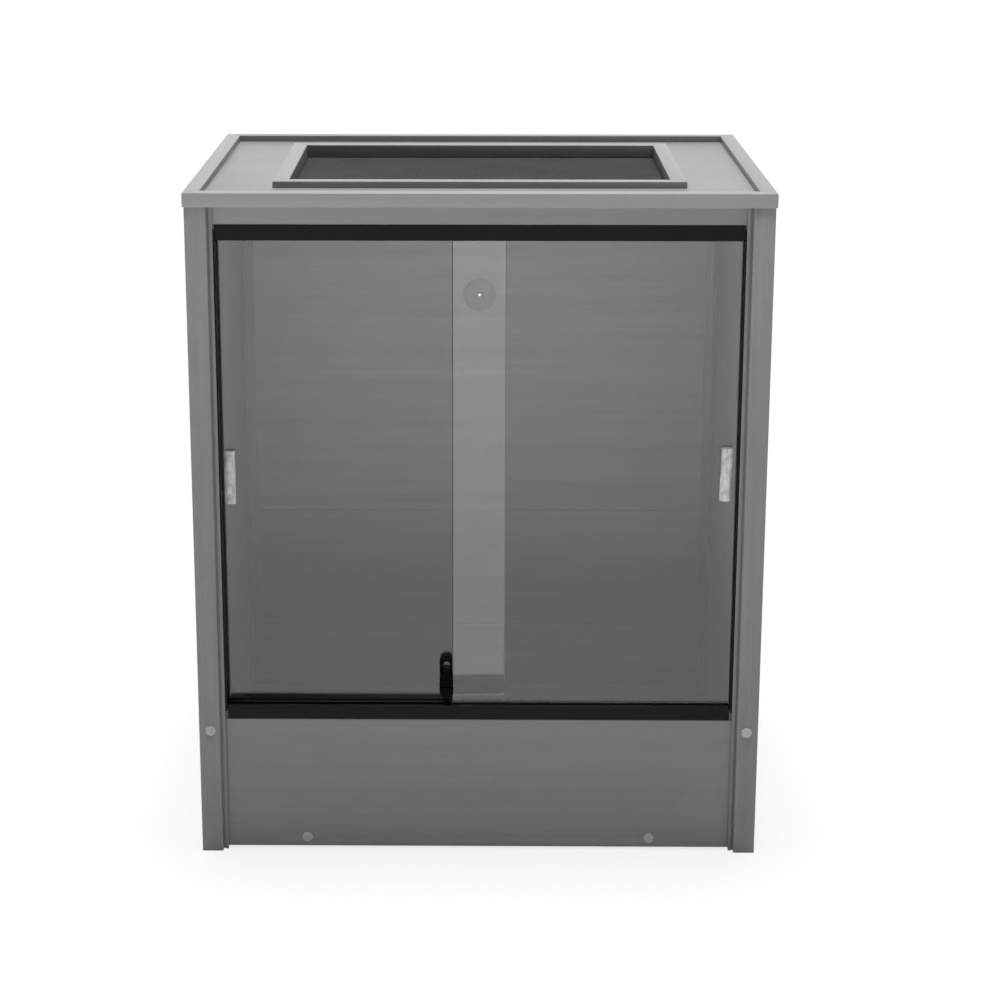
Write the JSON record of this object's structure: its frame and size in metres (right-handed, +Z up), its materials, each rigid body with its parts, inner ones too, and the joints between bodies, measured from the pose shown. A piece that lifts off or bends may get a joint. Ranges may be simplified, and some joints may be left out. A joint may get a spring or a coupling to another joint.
{
  "type": "reptile terrarium",
  "caption": "Front-opening composite board reptile terrarium with sliding glass doors, screened top and a cable port.",
  "frame": {"origin": "on the floor under the middle of the cabinet", "axes": "+X to the right seen from the front, +Y to the back, +Z up; the doors face -Y"},
  "size_m": [0.61, 0.457, 0.73],
  "materials": {
    "post": "satin, fine vertical grain",
    "front_board": "satin, fine grain along the board",
    "wall_board": "matt, fine grain along the board",
    "bearer": "matt",
    "top_board": "satin, fine grain along the board",
    "trim": "satin, fine grain along the trim",
    "track": "black extruded plastic",
    "glass": "clear, ground edges",
    "acrylic": "clear, slightly frosted",
    "catch": "black moulded plastic",
    "mesh": "black coated wire mesh",
    "grommet": "moulded plastic",
    "screw": "zinc plated",
    "screw_cap": "moulded plastic"
  },
  "bodies": {
    "cabinet": {"post_front_left": "post", "post_front_right": "post", "post_rear_left": "post", "post_rear_right": "post", "base_board": "front_board", "header_board": "front_board", "lower_track": "track", "upper_track": "track", "jamb_strip_left": "track", "jamb_strip_right": "track", "back_board_lower": "wall_board", "back_board_middle": "wall_board", "back_panel_upper": "wall_board", "left_board_lower": "wall_board", "left_board_middle": "wall_board", "left_panel_upper": "wall_board", "right_board_lower": "wall_board", "right_board_middle": "wall_board", "right_panel_upper": "wall_board", "floor_bearer_left": "bearer", "floor_bearer_right": "bearer", "floor_panel": "wall_board", "top_panel": "top_board", "cap_front": "trim", "cap_rear": "trim", "cap_left": "trim", "cap_right": "trim", "screen_trim_front": "trim", "screen_trim_rear": "trim", "screen_trim_left": "trim", "screen_trim_right": "trim", "screen_mesh": "mesh", "screen_retainer": "track", "screen_screws": "screw", "cable_grommet": "grommet", "post_screws": "screw", "bearer_screws": "screw", "screw_caps_front": "screw_cap", "screw_caps_rear": "screw_cap"},
    "left_door": {"glass_left": "glass", "pull_left": "acrylic"},
    "right_door": {"glass_right": "glass", "pull_right": "acrylic", "catch_housing": "catch"},
    "catch_bolt": {"catch_bolt": "catch"}
  },
  "joints": [
    {"name": "left_door_slide", "type": "slide", "parent": "cabinet", "child": "left_door", "axis": [1, 0, 0], "range_m": [0, 0.244]},
    {"name": "right_door_slide", "type": "slide", "parent": "cabinet", "child": "right_door", "axis": [-1, 0, 0], "range_m": [0, 0.23]},
    {"name": "catch_bolt_lift", "type": "slide", "parent": "right_door", "child": "catch_bolt", "axis": [0, 0, 1], "range_m": [0, 0.011]}
  ]
}
